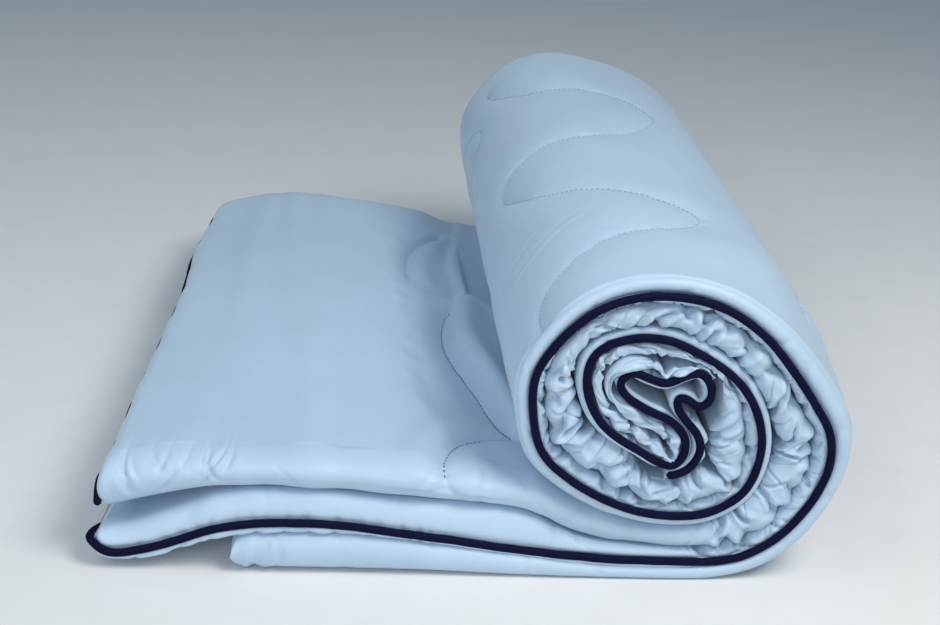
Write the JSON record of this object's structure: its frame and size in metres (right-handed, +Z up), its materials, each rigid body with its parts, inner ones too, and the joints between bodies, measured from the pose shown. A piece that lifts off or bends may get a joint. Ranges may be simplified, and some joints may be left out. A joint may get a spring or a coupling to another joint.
{
  "type": "infrared sauna blanket",
  "caption": "Quilted infrared sauna blanket with piped seams, folded into leaves and rolled up from one end, with a flat tail.",
  "frame": {"origin": "middle of the bounding box's base, on the surface that the blanket lies on", "axes": "+Y along the roll, away from the piped ends of the leaves; -X from the roll towards the end of the flat tail; +Z up"},
  "size_m": [0.6442, 0.7678, 0.2759],
  "materials": {
    "shell_fabric": "smooth light blue quilted cloth",
    "padding": "loose white fibre padding",
    "piping": "navy corded piping",
    "heating_film": "carbon heating film",
    "reflector_foil": "bright foil",
    "copper_foil": "copper strip",
    "contact_metal": "plated contact",
    "lead_insulation": "flexible insulation",
    "black_plastic": "moulded plastic"
  },
  "bodies": {
    "roll": {"bottom_leaf_cover": "shell_fabric", "bottom_leaf_batting": "padding", "bus_bar_far": "copper_foil", "bus_bar_near": "copper_foil", "heating_film": "heating_film", "reflector_foil": "reflector_foil", "inlet_housing": "black_plastic", "inlet_contact_far": "contact_metal", "inlet_contact_near": "contact_metal", "inlet_contact_sensor": "contact_metal", "lead_far": "lead_insulation", "lead_from_cutout": "lead_insulation", "lead_sensor": "lead_insulation", "lead_to_cutout": "lead_insulation", "temperature_sensor": "black_plastic", "thermal_cutout": "black_plastic", "middle_leaf_roll_batting": "padding", "middle_leaf_roll_inner_fabric": "shell_fabric", "middle_leaf_roll_outer_fabric": "shell_fabric", "roll_piping": "piping", "top_leaf_roll_batting": "padding", "top_leaf_roll_cover": "shell_fabric"},
    "top_leaf_flap": {"top_leaf_flap_batting": "padding", "top_leaf_flap_cover": "shell_fabric", "top_leaf_flap_end_piping": "piping"},
    "middle_leaf_flap": {"middle_leaf_flap_batting": "padding", "middle_leaf_flap_inner_fabric": "shell_fabric", "middle_leaf_flap_outer_fabric": "shell_fabric", "middle_leaf_flap_piping": "piping"}
  },
  "joints": [
    {"name": "top_leaf_lift", "type": "hinge", "parent": "roll", "child": "top_leaf_flap", "pos_m": [-0.00923, -0.38395, 0.0929], "axis": [0, 1, 0], "range_deg": [0, 85]},
    {"name": "middle_leaf_lift", "type": "hinge", "parent": "roll", "child": "middle_leaf_flap", "pos_m": [-0.00923, -0.38395, 0.06489], "axis": [0, 1, 0], "range_deg": [0, 32]}
  ],
  "couplings": [
    {"joint": "middle_leaf_lift", "follows": "top_leaf_lift", "ratio": 0.37}
  ]
}
